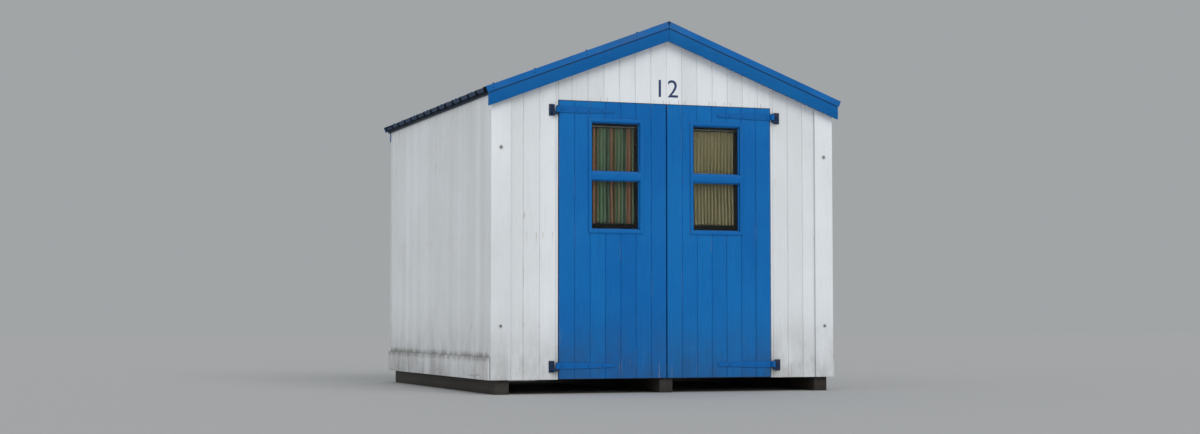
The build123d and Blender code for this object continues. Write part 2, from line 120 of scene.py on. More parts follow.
# A dark backing coat, darkened as painted shade, laid on the sheets' downward faces and along the roof's
# eave.
BACKING_AND_SHADE = (0.01, 0.018, 0.03)
BARE_IRON = (0.026, 0.023, 0.023)
BOLT_GREY = (0.2, 0.2, 0.205)
WASHER_WHITE = (0.62, 0.63, 0.63)
ZINC = (0.5, 0.5, 0.49)
ZINC_BLOOM = (0.33, 0.3, 0.27)
IRON_RUST = (0.125, 0.046, 0.018)
RUST_ON_BLUE = (0.12, 0.045, 0.018)
RUST_ON_WHITE = (0.22, 0.1, 0.045)
RUST_ON_GREY = (0.15, 0.085, 0.05)
ROOF_RUST = (0.17, 0.065, 0.025)
ROOF_DIRT = (0.095, 0.1, 0.095)
ROOF_DUST = (0.23, 0.205, 0.165)
# Grime and painted shade, laid where corners and joints are occluded.
CREVICE_SHADE_AND_GRIME = (0.055, 0.05, 0.045)
SPLASH_ON_WHITE = (0.24, 0.22, 0.2)
SPLASH_ON_BLUE = (0.03, 0.055, 0.105)
NAIL_RUST = (0.33, 0.205, 0.105)
KNOT_STAIN = (0.44, 0.35, 0.21)
KNOT_RIM = (0.3, 0.2, 0.1)
BARE_GREY = (0.28, 0.235, 0.185)
PALE_PRIMER = (0.34, 0.355, 0.36)
PINE_PALE, PINE_DARK, PINE_AGED = (0.52, 0.36, 0.215), (0.33, 0.205, 0.11), (0.3, 0.255, 0.205)
FLOOR_PALE, FLOOR_DARK = (0.4, 0.3, 0.2), (0.25, 0.17, 0.1)
# Timber darkened near to black as painted shade, for the bearers and joists in the shade under the hut.
SHADED_TIMBER = {"pale": (0.034, 0.027, 0.022), "dark": (0.013, 0.01, 0.008), "aged": (0.06, 0.052, 0.043),
          "roughness": 0.7}
GLASS_TINT = (0.93, 0.95, 0.91)
GLASS_DUST = (0.5, 0.5, 0.47)
PLAIN_CLOTH = (0.405, 0.352, 0.19)
STRIPED_GROUND = (0.155, 0.268, 0.154)
STRIPE_REPEAT = 0.22
# Middle and width of each stripe, as shares of the repeat, and its colour.
STRIPES = [
    (0.14, 0.15, (0.415, 0.176, 0.1)),
    (0.31, 0.17, (0.17, 0.108, 0.044)),
    (0.93, 0.24, (0.06, 0.118, 0.07)),
    (0.58, 0.035, (0.345, 0.236, 0.108)),
]

# Sizes in the finish, in metres.
THREAD_PITCH = 0.0011
SPLASH_HEIGHT = 0.7
SPLASH_SINK = 0.05
TIDE_REACH = (0.046, 0.004)
RUST_START = 0.004
RUST_HALF_WIDTH = (0.0075, 0.001)
RUST_RUN = (0.035, 0.19)
CAP_SHADOW = (0.015, 0.006)
# Distances from the middle over which the roof sheets go dark with painted shade at the eave.
EAVE_SHADE = (1.326, 1.344)


# Materials. Limits of ramps are levels of noise, found one by one, and distances are metres.

def times(values, factor):
    """A colour or a set of scales, each value times a factor."""
    return tuple(v * factor for v in values)


class Graph:
    """A material or a world, with short calls that add nodes and lay coats over the colour."""

    def __init__(self, name, color=None, kind="materials"):
        self.owner = getattr(bpy.data, kind).new(name)
        self.owner.use_nodes = True
        self.tree = self.owner.node_tree
        self.tree.nodes.clear()
        self.color = color

    def add(self, kind, **settings):
        node = self.tree.nodes.new(kind)
        for key, value in settings.items():
            setattr(node, key, value)
        return node

    def feed(self, socket, value):
        if isinstance(value, bpy.types.NodeSocket):
            self.tree.links.new(value, socket)
        elif isinstance(value, (tuple, list)) and len(value) == 3 and socket.type == "RGBA":
            socket.default_value = (*value, 1)
        else:
            socket.default_value = value

    def fill(self, node, **values):
        for key, value in values.items():
            self.feed(node.inputs[key.replace("_", " ")], value)

    def put(self, node, *values):
        """Feeds the first inputs of a node in order, and gives its first output."""
        for socket, value in zip(node.inputs, values):
            self.feed(socket, value)
        return node.outputs[0]

    def place(self):
        return self.add("ShaderNodeTexCoord").outputs["Object"]

    def split(self, vector):
        node = self.add("ShaderNodeSeparateXYZ")
        self.put(node, vector)
        return node.outputs

    def height(self):
        return self.split(self.place())[2]

    def from_middle(self):
        return self.math("ABSOLUTE", self.split(self.place())[0])

    def math(self, operation, a, b=0, clamp=False):
        return self.put(self.add("ShaderNodeMath", operation=operation, use_clamp=clamp), a, b)

    def times(self, a, b, clamp=False):
        return self.math("MULTIPLY", a, b, clamp)

    def plus(self, a, b, clamp=False):
        return self.math("ADD", a, b, clamp)

    def minus(self, a, b):
        return self.math("SUBTRACT", a, b)

    def most(self, a, b):
        return self.math("MAXIMUM", a, b)

    def apart(self, a, b):
        """The distance between two values."""
        return self.math("ABSOLUTE", self.minus(a, b))

    def scaled(self, scales, shift=None):
        """The place, stretched by three factors, and shifted where a shift is given."""
        place = self.put(self.add("ShaderNodeVectorMath", operation="MULTIPLY"), self.place(), scales)
        if shift is None:
            return place
        return self.put(self.add("ShaderNodeVectorMath", operation="ADD"), place, shift)

    def noise(self, scale, detail=4, roughness=0.55, distortion=0, shift=None):
        """Noise at one scale, or stretched by three."""
        stretched = isinstance(scale, tuple)
        vector, scale = (self.scaled(scale, shift), 1.0) if stretched else (self.place(), scale)
        node = self.add("ShaderNodeTexNoise")
        self.fill(node, Vector=vector, Scale=scale, Detail=detail, Roughness=roughness,
                  Distortion=distortion)
        return node.outputs["Fac"]

    def grain(self, axis, factor, *settings, amount=23):
        """Noise drawn out along the grain, which differs from one board to the next."""
        return self.noise(times(GRAIN[axis], factor), *settings, shift=self.times(self.tone(), amount))

    def wobble(self, scale, detail, span):
        """An uneven shift, which spans this much about zero."""
        return self.times(self.minus(self.noise(scale, detail), 0.5), span)

    def ramp(self, value, low, high, start=0, end=1):
        """start at low, end at high, smooth between them."""
        node = self.add("ShaderNodeMapRange", interpolation_type="SMOOTHSTEP")
        return self.put(node, value, low, high, start, end)

    def mix(self, factor, a, b):
        node = self.add("ShaderNodeMix", data_type="RGBA")
        for place, value in ((0, factor), (6, a), (7, b)):
            self.feed(node.inputs[place], value)
        return node.outputs[2]

    def lay(self, coat, amount, share=None):
        """Lays a coat over the colour, by an amount or a share of it."""
        amount = amount if share is None else self.times(amount, share)
        self.color = self.mix(amount, self.color, coat)

    def read(self, layer):
        return self.add("ShaderNodeAttribute", attribute_name=layer).outputs["Fac"]

    def tone(self):
        """The number from 0 to 1 that each board, timber or fastener has of its own."""
        return self.read("tone")

    def normal(self):
        return self.add("ShaderNodeNewGeometry").outputs["Normal"]

    def crevice(self, distance):
        """High in corners and gaps up to a distance away."""
        node = self.add("ShaderNodeAmbientOcclusion", samples=6)
        self.fill(node, Distance=distance)
        return self.minus(1, node.outputs["AO"])

    def edge(self, radius):
        """High on sharp outer edges and low on flat faces."""
        rounded = self.put(self.add("ShaderNodeBevel", samples=4), radius)
        dot = self.add("ShaderNodeVectorMath", operation="DOT_PRODUCT")
        self.put(dot, self.normal(), rounded)
        return self.minus(1, dot.outputs["Value"])

    def bump(self, height, distance, strength, **below):
        node = self.add("ShaderNodeBump")
        self.fill(node, Height=height, Distance=distance, Strength=strength, **below)
        return node.outputs[0]

    def finish(self, roughness, normal=None, metallic=0, **sockets):
        shader = self.add("ShaderNodeBsdfPrincipled")
        self.fill(shader, Base_Color=self.color, Roughness=roughness, Metallic=metallic, **sockets)
        if normal is not None:
            self.fill(shader, Normal=normal)
        return self.output(shader)

    def output(self, shader):
        self.feed(self.add("ShaderNodeOutputMaterial").inputs[0], shader.outputs[0])
        return self.owner


GRAIN = {"x": (1.3, 34, 34), "y": (34, 1.3, 34), "z": (34, 34, 1.3)}
KNOT_SCALE = {"x": (3.4, 8, 8), "y": (8, 3.4, 8), "z": (8, 8, 3.4)}


def knot_spots(g, axis, rarity, *limits):
    """High in a board's knots, longest along its grain, once for each pair of limits."""
    cells = g.add("ShaderNodeTexVoronoi")
    g.fill(cells, Vector=g.scaled(KNOT_SCALE[axis], g.times(g.tone(), 7)), Scale=1)
    chosen = g.ramp(g.split(cells.outputs["Color"])[0], rarity, rarity + 0.02)
    distance = g.plus(cells.outputs["Distance"], g.wobble(60, 3, 0.05))
    return [g.times(g.ramp(distance, outer, inner), chosen) for inner, outer in limits]


def bare_wood(name, axis, pale=PINE_PALE, dark=PINE_DARK, roughness=0.68, aged=PINE_AGED):
    """Plain-sawn softwood with rings, fibres and knots, greyed in patches, with grime and painted shade
    in its corners.
    """
    g = Graph(name)
    knots = knot_spots(g, axis, 0.62, (0.05, 0.2))[0]
    rings = g.plus(g.grain(axis, 0.32, 3, 0.5, 1.4), g.times(knots, 0.5))
    bands = g.ramp(g.math("FRACT", g.times(rings, 9)), 0.15, 0.95)
    figure = g.plus(g.times(bands, 0.6), g.times(g.grain(axis, 5, 4, 0.7), 0.4))
    g.color = g.mix(figure, pale, dark)
    g.lay(times(dark, 0.42), g.ramp(knots, 0.45, 0.75), 0.8)
    g.lay(aged, g.ramp(g.noise(2.2, 5), 0.35, 0.75), 0.35)
    g.lay(times(dark, 0.62), g.tone(), 0.28)
    # Painted shade and grime in the corners, from the occlusion there.
    g.lay(times(aged, 0.3), g.ramp(g.crevice(0.05), 0.15, 0.9), 0.55)
    return g.finish(roughness, g.bump(figure, 0.0009, 0.5))


def rust_below_nails(g, along, width):
    """Streaks under the nail heads, whose places repeat from board to board."""
    cell = g.times(g.math("FRACT", g.math("DIVIDE", g.split(g.place())[along], width)), width)
    near = g.math("MINIMUM", g.apart(cell, NAIL_FROM_EDGE), g.apart(cell, width - NAIL_FROM_EDGE))
    column = g.ramp(g.plus(near, g.wobble(22, 2, 0.006)), *RUST_HALF_WIDTH)
    reach = g.ramp(g.noise((13, 13, 0.4), 2), 0.34, 0.66, *RUST_RUN)
    streak = None
    for row in rail_rows:
        drop = g.minus(row + RUST_START, g.height())
        below = g.times(g.ramp(drop, 0, 0.006), g.ramp(drop, reach, 0.01))
        streak = below if streak is None else g.most(streak, below)
    patchy = g.ramp(g.noise((8, 8, 1.1), 2), 0.44, 0.62)
    return g.times(g.times(column, streak), patchy)


def painted_wood(name, axis, paint, faded, bare, dirt, roughness=0.5, chips=0.7, foot=0.6, crevice=0.5,
                 rust=None, knots=0, gloss=0.5, fade=1, lip=None, grain=0.12, ledge=None):
    """Brushed paint over boards: grain that shows through, fading, dirt at the foot and chips.

    rust gives the coordinate across the boards and their width, lip the height of a metal edge
    whose shadow falls on the paint, and ledge the height of a ragged line of dirt."""
    g = Graph(name)
    fibres = g.grain(axis, 3.2, 4, 0.65)
    brush = g.grain(axis, 11, 3, 0.6)
    swirl = g.grain(axis, 0.5, 3, 0.5, 0.8)
    cloud = g.noise(1.3, 6, 0.6)
    g.color = g.mix(g.ramp(g.plus(cloud, g.times(g.tone(), 0.3)), 0.4, 0.9, 0, fade), paint, faded)
    g.lay(times(paint, 0.5), g.ramp(fibres, 0.5, 0.74), grain)
    g.lay(times(faded, 1.25), g.ramp(brush, 0.54, 0.7), grain * 0.8)
    if knots:
        stain, core, heart = knot_spots(g, axis, 0.78, (0.05, 0.17), (0.075, 0.095), (0.04, 0.07))
        g.lay(KNOT_STAIN, g.times(stain, g.ramp(fibres, 0.35, 0.6, 0.4, 1)), knots)
        g.lay(KNOT_RIM, g.minus(core, g.times(heart, 0.7)), knots * 0.9)
    g.lay(times(paint, 0.5), g.ramp(g.noise((9, 9, 0.55), 5, 0.6), 0.5, 0.8), 0.15)
    # Painted shade and grime in the joints and corners, where they are occluded.
    g.lay(CREVICE_SHADE_AND_GRIME, g.ramp(g.crevice(0.035), 0.2, 0.95), crevice)
    if lip is not None:
        drop = g.minus(lip, g.plus(g.height(), g.times(g.from_middle(), ROOF_SLOPE)))
        g.lay(SHADE_NAVY, g.ramp(drop, *CAP_SHADOW), 0.75)
    low = g.ramp(g.height(), WALL_BOTTOM + SPLASH_HEIGHT, WALL_BOTTOM - SPLASH_SINK)
    patches = g.noise((7, 7, 3), 6, 0.65)
    splash = g.times(g.math("POWER", low, 1.6), g.ramp(patches, 0.15, 0.75))
    g.lay(dirt, splash, foot)
    if ledge is not None:
        away = g.apart(g.plus(g.height(), g.wobble(14, 4, 0.05)), ledge)
        tide = g.times(g.ramp(away, *TIDE_REACH), g.ramp(patches, 0.3, 0.62, 0.25, 1))
        g.lay(times(dirt, 0.55), tide, 0.62)
    if rust is not None:
        g.lay(NAIL_RUST, rust_below_nails(g, *rust), 0.38)
    flake = g.grain(axis, 1.3, 6, 0.72, amount=9)
    edge_chip = g.times(g.ramp(g.edge(0.0035), 0.006, 0.05), g.ramp(flake, 0.585, 0.61))
    low_chip = g.times(g.ramp(low, 0.35, 1), g.ramp(flake, 0.645, 0.66))
    chip = g.times(g.most(g.most(edge_chip, low_chip), g.ramp(flake, 0.725, 0.74)), chips, clamp=True)
    g.lay(g.mix(fibres, bare, times(bare, 0.6)), chip)
    shine = g.ramp(cloud, 0.3, 0.7, roughness - 0.07, roughness + 0.1)
    shine = g.plus(shine, g.times(g.most(splash, chip), 0.2))
    relief = g.plus(g.plus(g.times(fibres, 0.45), g.times(swirl, 0.25)), g.times(brush, 0.3))
    normal = g.bump(g.minus(1, chip), 0.0006, 0.8, Normal=g.bump(relief, 0.0016, 0.65))
    return g.finish(shine, normal, Specular_IOR_Level=gloss)


def coated_metal(name, paint, roughness=0.36, rust=0.5, eave=True, gloss=0.3):
    """Coated sheet with chalky patches, dirt that runs downhill, rust at its edges, painted shade along
    the eave where eave is set, and a backing coat darkened as painted shade on faces that point down.
    """
    g = Graph(name)
    cloud = g.noise(1.7, 6, 0.6)
    runs = g.noise((1.3, 34, 1.3), 5, 0.65)
    g.color = g.mix(g.ramp(cloud, 0.35, 0.8), paint, tuple(c * 1.3 + 0.008 for c in paint))
    g.lay(ROOF_DIRT, g.ramp(runs, 0.5, 0.78), 0.3)
    g.lay(ROOF_DUST, g.times(g.ramp(g.crevice(0.045), 0.12, 0.7), g.ramp(cloud, 0.35, 0.6, 0.15, 0.45)))
    fleck = g.noise(46, 6, 0.75)
    edge_rust = g.times(g.ramp(g.edge(0.0012), 0.05, 0.3), g.ramp(fleck, 0.54, 0.6))
    rusty = g.times(g.most(edge_rust, g.ramp(fleck, 0.745, 0.77)), rust)
    # Painted shade along the eave: the sheets darken towards their lower edge.
    if eave:
        ragged = g.plus(g.times(fleck, 0.03), g.times(runs, 0.06))
        g.lay(BACKING_AND_SHADE, g.ramp(g.plus(g.from_middle(), ragged), *EAVE_SHADE), 0.85)
    # The backing coat on faces that point down, darkened as painted shade.
    g.lay(BACKING_AND_SHADE, g.ramp(g.split(g.normal())[2], -0.04, -0.12))
    g.lay(ROOF_RUST, rusty)
    shine = g.plus(g.ramp(cloud, 0.3, 0.7, roughness, roughness + 0.16), g.times(rusty, 0.4))
    return g.finish(shine, g.bump(g.noise(9, 3), 0.0012, 0.35), Specular_IOR_Level=gloss)


def iron(name, base, rust_color, rust_from, roughness=0.62, metallic=0.35, gloss=0.5):
    """Forged iron, bare or painted, with rust patches and pitting."""
    g = Graph(name)
    patch = g.noise(34, 6, 0.68)
    pits = g.noise(210, 4, 0.7)
    edge_rust = g.times(g.ramp(g.edge(0.0014), 0.03, 0.22), g.ramp(patch, 0.44, 0.56))
    rust = g.plus(g.ramp(patch, rust_from, rust_from + 0.1), edge_rust, clamp=True)
    g.color = g.mix(rust, base, rust_color)
    g.lay(times(base, 0.4), g.ramp(pits, 0.5, 0.8), 0.35)
    normal = g.bump(g.plus(pits, g.times(rust, 0.6)), 0.0005, 0.55)
    shine = g.ramp(patch, 0.3, 0.7, roughness - 0.1, roughness + 0.16)
    return g.finish(shine, normal, metallic, Specular_IOR_Level=gloss)


def glass_material(name):
    """Thin window glass with a film of salt and dust."""
    g = Graph(name)
    film = g.ramp(g.noise((5, 5, 9), 6, 0.7), 0.42, 0.85)
    specks = g.ramp(g.noise(150, 3, 0.6), 0.66, 0.78)
    clear, dust = g.add("ShaderNodeBsdfPrincipled"), g.add("ShaderNodeBsdfDiffuse")
    g.fill(clear, Base_Color=GLASS_TINT, Roughness=0.02, Transmission_Weight=1, IOR=1.27)
    g.fill(dust, Color=GLASS_DUST)
    amount = g.plus(g.times(film, 0.03), g.times(specks, 0.06))
    both = g.add("ShaderNodeMixShader")
    g.put(both, amount, clear.outputs[0], dust.outputs[0])
    return g.output(both)


def cloth_material(name, ground, stripes=()):
    """Cotton with a fine weave, and stripes set by the cloth's own width where there are any."""
    g = Graph(name, ground)
    across = g.read("across")
    for middle, width, stripe in stripes:
        turns = g.minus(g.math("DIVIDE", across, STRIPE_REPEAT), middle - 0.5)
        away = g.apart(g.math("FRACT", turns), 0.5)
        g.lay(stripe, g.ramp(away, width * 0.52, width * 0.46))
    threads = [g.math("SINE", g.times(way, math.tau / THREAD_PITCH)) for way in (across, g.read("down"))]
    g.lay(times(ground, 1.25), g.ramp(g.noise(7, 5), 0.4, 0.8), 0.25)
    normal = g.bump(g.plus(*threads), 0.0002, 0.35)
    return g.finish(0.9, normal, Sheen_Weight=0.15, Sheen_Roughness=0.5)


def white_paint(name, axis, **settings):
    usual = {"roughness": 0.52, "foot": 0.66, "knots": 0.3, "gloss": 0.4, "crevice": 0.34, "grain": 0.16}
    return painted_wood(name, axis, WHITE, WHITE_OLD, BARE_GREY, SPLASH_ON_WHITE, **{**usual, **settings})


def blue_paint(name, axis, paint=BLUE, faded=BLUE_OLD, **settings):
    usual = {"roughness": 0.44, "foot": 0.55, "crevice": 0.4, "gloss": 0.14, "fade": 0.8, "grain": 0.30}
    return painted_wood(name, axis, paint, faded, PALE_PRIMER, SPLASH_ON_BLUE, **{**usual, **settings})


white_front = white_paint("white_boards_front", "z", rust=(0, WALL_BOARD_WIDTH))
skirting_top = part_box("skirting_boards")[1].z
white_side = white_paint("white_boards_side", "z", rust=(1, side_width), ledge=skirting_top)
white_z = white_paint("white_paint_upright", "z", knots=0)
white_y = white_paint("white_paint_level", "y", foot=0.74, knots=0, ledge=skirting_top)
blue_z = blue_paint("blue_paint_upright", "z")
blue_x = blue_paint("blue_paint_level", "x")
caps_low, caps_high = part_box("verge_caps")
cap_lip = caps_low.z + (caps_high.x - VERGE_CAP_FACE * math.sin(PITCH)) * ROOF_SLOPE
blue_barge = blue_paint("blue_paint_barge", "x", times(BLUE, 0.86), times(BLUE_OLD, 0.8), lip=cap_lip)
# The eave boards are painted near-black navy as painted shade, for the shade under the roof's edge.
navy_y = blue_paint("navy_eave_painted_shade", "y", SHADE_NAVY, times(SHADE_NAVY, 1.8), chips=0.5)
timber = {axis: bare_wood("bare_timber_" + axis, axis) for axis in "xyz"}
floor_wood = bare_wood("floor_timber", "y", FLOOR_PALE, FLOOR_DARK, 0.75)
# Near-black timber for the bearers and joists, as painted shade under the hut.
dark_wood = {axis: bare_wood("dark_timber_" + axis, axis, **SHADED_TIMBER) for axis in "xy"}
roof_metal = coated_metal("roof_blue_metal", ROOF_BLUE)
trim_metal = coated_metal("trim_blue_metal", TRIM_BLUE, 0.46, 0.4, eave=False, gloss=0.14)
dark_iron = iron("dark_iron", BARE_IRON, IRON_RUST, 0.51)
grey_iron = iron("grey_iron", BOLT_GREY, RUST_ON_GREY, 0.57)
navy_iron = iron("navy_iron", PLATE_NAVY, IRON_RUST, 0.565, 0.55, 0, 0.25)
blue_iron = iron("blue_iron", STRAP_BLUE, RUST_ON_BLUE, 0.64, 0.5, 0, 0.16)
white_iron = iron("white_iron", WASHER_WHITE, RUST_ON_WHITE, 0.6, 0.55, 0, 0.4)
zinc = iron("rod_metal", ZINC, ZINC_BLOOM, 0.7, 0.4, 0.9)
glass = glass_material("window_glass")
striped_cloth = cloth_material("striped_curtain", STRIPED_GROUND, STRIPES)
plain_cloth = cloth_material("plain_curtain", PLAIN_CLOTH)
number_paint = painted_wood("number_paint", "z", NUMBER_BLUE, NUMBER_BLUE_OLD, WHITE, SPLASH_ON_BLUE,
                            chips=0.35, foot=0)


# Mesh building

class Mesher:
    """Collects closed solids into one mesh, each with a tone of its own."""

    def __init__(self, seed):
        self.random = random.Random(seed)
        self.points, self.faces, self.slots, self.tones = [], [], [], []

    def loft(self, rings, slots=None, caps=(0, 0), tone=None):
        """A closed solid through rings of equally many points. slots gives each side's material."""
        tone = self.random.random() if tone is None else tone
        count, start = len(rings[0]), len(self.points)
        for ring in rings:
            self.points.extend(tuple(p) for p in ring)
        self.tones.extend([tone] * (count * len(rings)))
        for r in range(len(rings) - 1):
            near = start + r * count
            for i in range(count):
                j = (i + 1) % count
                self.faces.append((near + i, near + j, near + count + j, near + count + i))
                self.slots.append(slots[i] if slots else 0)
        last = start + (len(rings) - 1) * count
        self.faces.append(tuple(start + i for i in reversed(range(count))))
        self.faces.append(tuple(last + i for i in range(count)))
        self.slots.extend(caps)

    def button(self, middle, outward, profile, sides=10, slot=0, turn=0.0):
        """A turned head on a face. profile lists its (radius, height) rings from the face up."""
        middle, outward = Vector(middle), Vector(outward).normalized()
        side = outward.orthogonal().normalized()
        other = outward.cross(side)
        angles = [turn + math.tau * i / sides for i in range(sides)]
        rings = [[middle + outward * h + (side * math.cos(a) + other * math.sin(a)) * r for a in angles]
                 for r, h in profile]
        self.loft(rings, [slot] * sides, (slot, slot))

    def piece(self, name, body, materials, slot, smooth=False):
        mesh = bpy.data.meshes.new(name)
        mesh.from_pydata(self.points, [], self.faces)
        mesh.polygons.foreach_set("material_index", self.slots)
        add_layer(mesh, "tone", self.tones)
        return finish_piece(mesh, name, body, materials, smooth)


def add_layer(mesh, name, values):
    """One number for each vertex, which a material can read."""
    mesh.attributes.new(name, "FLOAT", "POINT").data.foreach_set("value", values)


def add_object(name, data):
    made = bpy.data.objects.new(name, data)
    bpy.context.scene.collection.objects.link(made)
    return made


def finish_piece(mesh, name, body, materials, smooth=False):
    """The mesh as a piece that rides on a body."""
    for material in materials:
        mesh.materials.append(material)
    work = bmesh.new()
    work.from_mesh(mesh)
    bmesh.ops.recalc_face_normals(work, faces=work.faces)
    work.to_mesh(mesh)
    work.free()
    if smooth:
        mesh.shade_smooth()
        mesh.set_sharp_from_angle(angle=SHARP)
    mesh.update()
    piece = add_object(name, mesh)
    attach(piece, body)
    return piece


def merged_copy(node):
    """An editable copy of a node's mesh, with the vertices at one place merged."""
    work = bmesh.new()
    work.from_mesh(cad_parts[node].data)
    bmesh.ops.remove_doubles(work, verts=work.verts, dist=TOUCHING)
    return work


def separate_solids(work):
    """The vertices of each separate solid."""
    found, seen = [], set()
    for vert in work.verts:
        if vert in seen:
            continue
        group, waiting = [], [vert]
        seen.add(vert)
        while waiting:
            here = waiting.pop()
            group.append(here)
            for there in [edge.other_vert(here) for edge in here.link_edges]:
                if there not in seen:
                    seen.add(there)
                    waiting.append(there)
        found.append(group)
    return found


def order_faces(work):
    """Puts the faces in the order of their corners, because a cut leaves them in any order."""
    work.verts.index_update()
    ordered = sorted(work.faces, key=lambda face: sorted(vert.index for vert in face.verts))
    places = {face: place for place, face in enumerate(ordered)}
    work.faces.sort(key=places.get)


def eased(node, body, material, slot, width=0.0016, segments=2, rails=None):
    """A copy of a solid with its sharp edges eased, which stands for it.

    rails gives the limits in x of a frame's level members, and the material for them."""
    work = merged_copy(node)
    bmesh.ops.dissolve_limit(work, angle_limit=COPLANAR, verts=work.verts, edges=work.edges)
    sharp = [e for e in work.edges if len(e.link_faces) == 2 and e.calc_face_angle() > SHARP]
    bmesh.ops.bevel(work, geom=sharp, offset=width, segments=segments, profile=0.5, affect="EDGES",
                    clamp_overlap=True)
    mesh = bpy.data.meshes.new(node + "_eased")
    tone_layer = work.verts.layers.float.new("tone")
    chooser = random.Random(node)
    for solid in separate_solids(work):
        tone = chooser.random()
        for vert in solid:
            vert[tone_layer] = tone
    left, right, rail_material = rails or (0, 0, material)
    for x in (left, right) if rails else ():
        bmesh.ops.bisect_plane(work, geom=work.verts[:] + work.edges[:] + work.faces[:], dist=TOUCHING,
                               plane_co=(x, 0, 0), plane_no=(1, 0, 0))
        order_faces(work)
    for face in work.faces:
        face.material_index = int(left < face.calc_center_median().x < right)
    work.to_mesh(mesh)
    work.free()
    piece = finish_piece(mesh, node + "_eased", body, [material, rail_material], smooth=True)
    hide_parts(node)


def roof_z(x):
    """Height of the underside of the roof sheets."""
    return RIDGE_Z - abs(x) * ROOF_SLOPE


# Boarding

# The way along each face of the hut, and the way out of it.
X, Y = Vector((1, 0, 0)), Vector((0, 1, 0))
FACES = {"front": (X, -Y), "back": (X, Y), "left": (Y, -X), "right": (Y, X)}


def joints_between(low, high, width):
    """Board edges from low to high, on a grid of joints about the middle, with no sliver."""
    first, last = math.ceil(low / width), math.floor(high / width)
    marks = [width * i for i in range(first, last + 1)]
    marks = [m for m in marks if m - low > NARROWEST_BOARD and high - m > NARROWEST_BOARD]
    return [low] + marks + [high]


def one_board(mesher, side, outer, thickness, left, right, bottom, top, joints=(True, True), back_slot=1,
              shift=0.0, tone=None):
    """One upright board with V joints on its outer edges. top is a height or a function."""
    along, outward = FACES[side]
    reach = outer + shift
    cut = [V_JOINT if joint else CUT_EDGE for joint in joints]
    section = [(left + BACK_EASE, -thickness), (right - BACK_EASE, -thickness),
               (right, BACK_EASE - thickness), (right, -cut[1]), (right - cut[1], 0),
               (left + cut[0], 0), (left, -cut[0]), (left, BACK_EASE - thickness)]
    rings = []
    for end in (lambda u: bottom, top if callable(top) else lambda u: top):
        rings.append([along * u + outward * (reach + d) + UP * end(u) for u, d in section])
    mesher.loft(rings, [back_slot, back_slot, 0, 0, 0, 0, 0, back_slot], (0, 0), tone)


def nails(mesher, side, outer, left, right, heights):
    """Two painted nail heads on a board at each rail."""
    along, outward = FACES[side]
    for z in heights:
        for u in (left + NAIL_FROM_EDGE, right - NAIL_FROM_EDGE):
            if right - left < ONE_NAIL_WIDTH:
                u = (left + right) / 2
            sway = mesher.random.uniform(-NAIL_SWAY, NAIL_SWAY)
            middle = along * (u + sway / 3) + outward * (outer - BOARD_SHIFT) + UP * (z + sway)
            mesher.button(middle, outward, NAIL_HEAD, NAIL_SIDES)


def boarded_wall(node, side, heights):
    """Separate boards with their nails in the place of a wall's slab."""
    low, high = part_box(node)
    if side in HANDS:
        start, end, outer, width = low.y, high.y, HALF_WIDTH, side_width
        top, paint = roof_z(HALF_WIDTH), white_side
    else:
        start, end, outer, width = low.x, high.x, HALF_DEPTH, WALL_BOARD_WIDTH
        top, paint = roof_z, white_front
    mesher = Mesher(node)
    marks = joints_between(start, end, width)
    for left, right in zip(marks, marks[1:]):
        shift = -mesher.random.random() * BOARD_SHIFT
        one_board(mesher, side, outer, BOARD_THICKNESS, left, right, low.z, top, shift=shift)
        nails(mesher, side, outer, left, right, heights)
    piece = mesher.piece(node + "_boarding", "hut", [paint, timber["z"]], "white_paint")
    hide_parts(node)


for node, side in (("left_wall", "left"), ("right_wall", "right"), ("back_wall", "back"),
                   ("front_wall_left", "front"), ("front_wall_right", "front")):
    boarded_wall(node, side, rail_rows)
boarded_wall("front_gable", "front", rail_rows[2:])


def boarded_leaf(name):
    """Upright blue boards of a door leaf, cut round its window frame."""
    node, body = name + "_door_boards", name + "_door"
    low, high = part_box(node)
    hole, hole_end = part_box(name + "_window_frame")
    outer, thickness = -low.y, high.y - low.y
    width = (high.x - low.x) / LEAF_BOARDS
    mesher = Mesher(node)
    rows = [low.z + rise for rise in LEAF_NAIL_RISES] + [high.z - LEAF_NAIL_DROP]
    for i in range(LEAF_BOARDS):
        left, right = low.x + i * width, low.x + (i + 1) * width
        tone = mesher.random.random()
        shift = -mesher.random.random() * BOARD_SHIFT
        cells = [(left, right, low.z, high.z, (True, True))]
        if right > hole.x and left < hole_end.x:
            cells = [(left, right, low.z, hole.z, (True, True)),
                     (left, right, hole_end.z, high.z, (True, True))]
            if left < hole.x:
                cells.append((left, hole.x, hole.z, hole_end.z, (True, False)))
            if right > hole_end.x:
                cells.append((hole_end.x, right, hole.z, hole_end.z, (False, True)))
        for cell in cells:
            one_board(mesher, "front", outer, thickness, *cell, 0, shift, tone)
        nails(mesher, "front", outer, left, right, rows)
    piece = mesher.piece(name + "_door_boarding", body, [blue_z], "blue_paint")
    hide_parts(node)


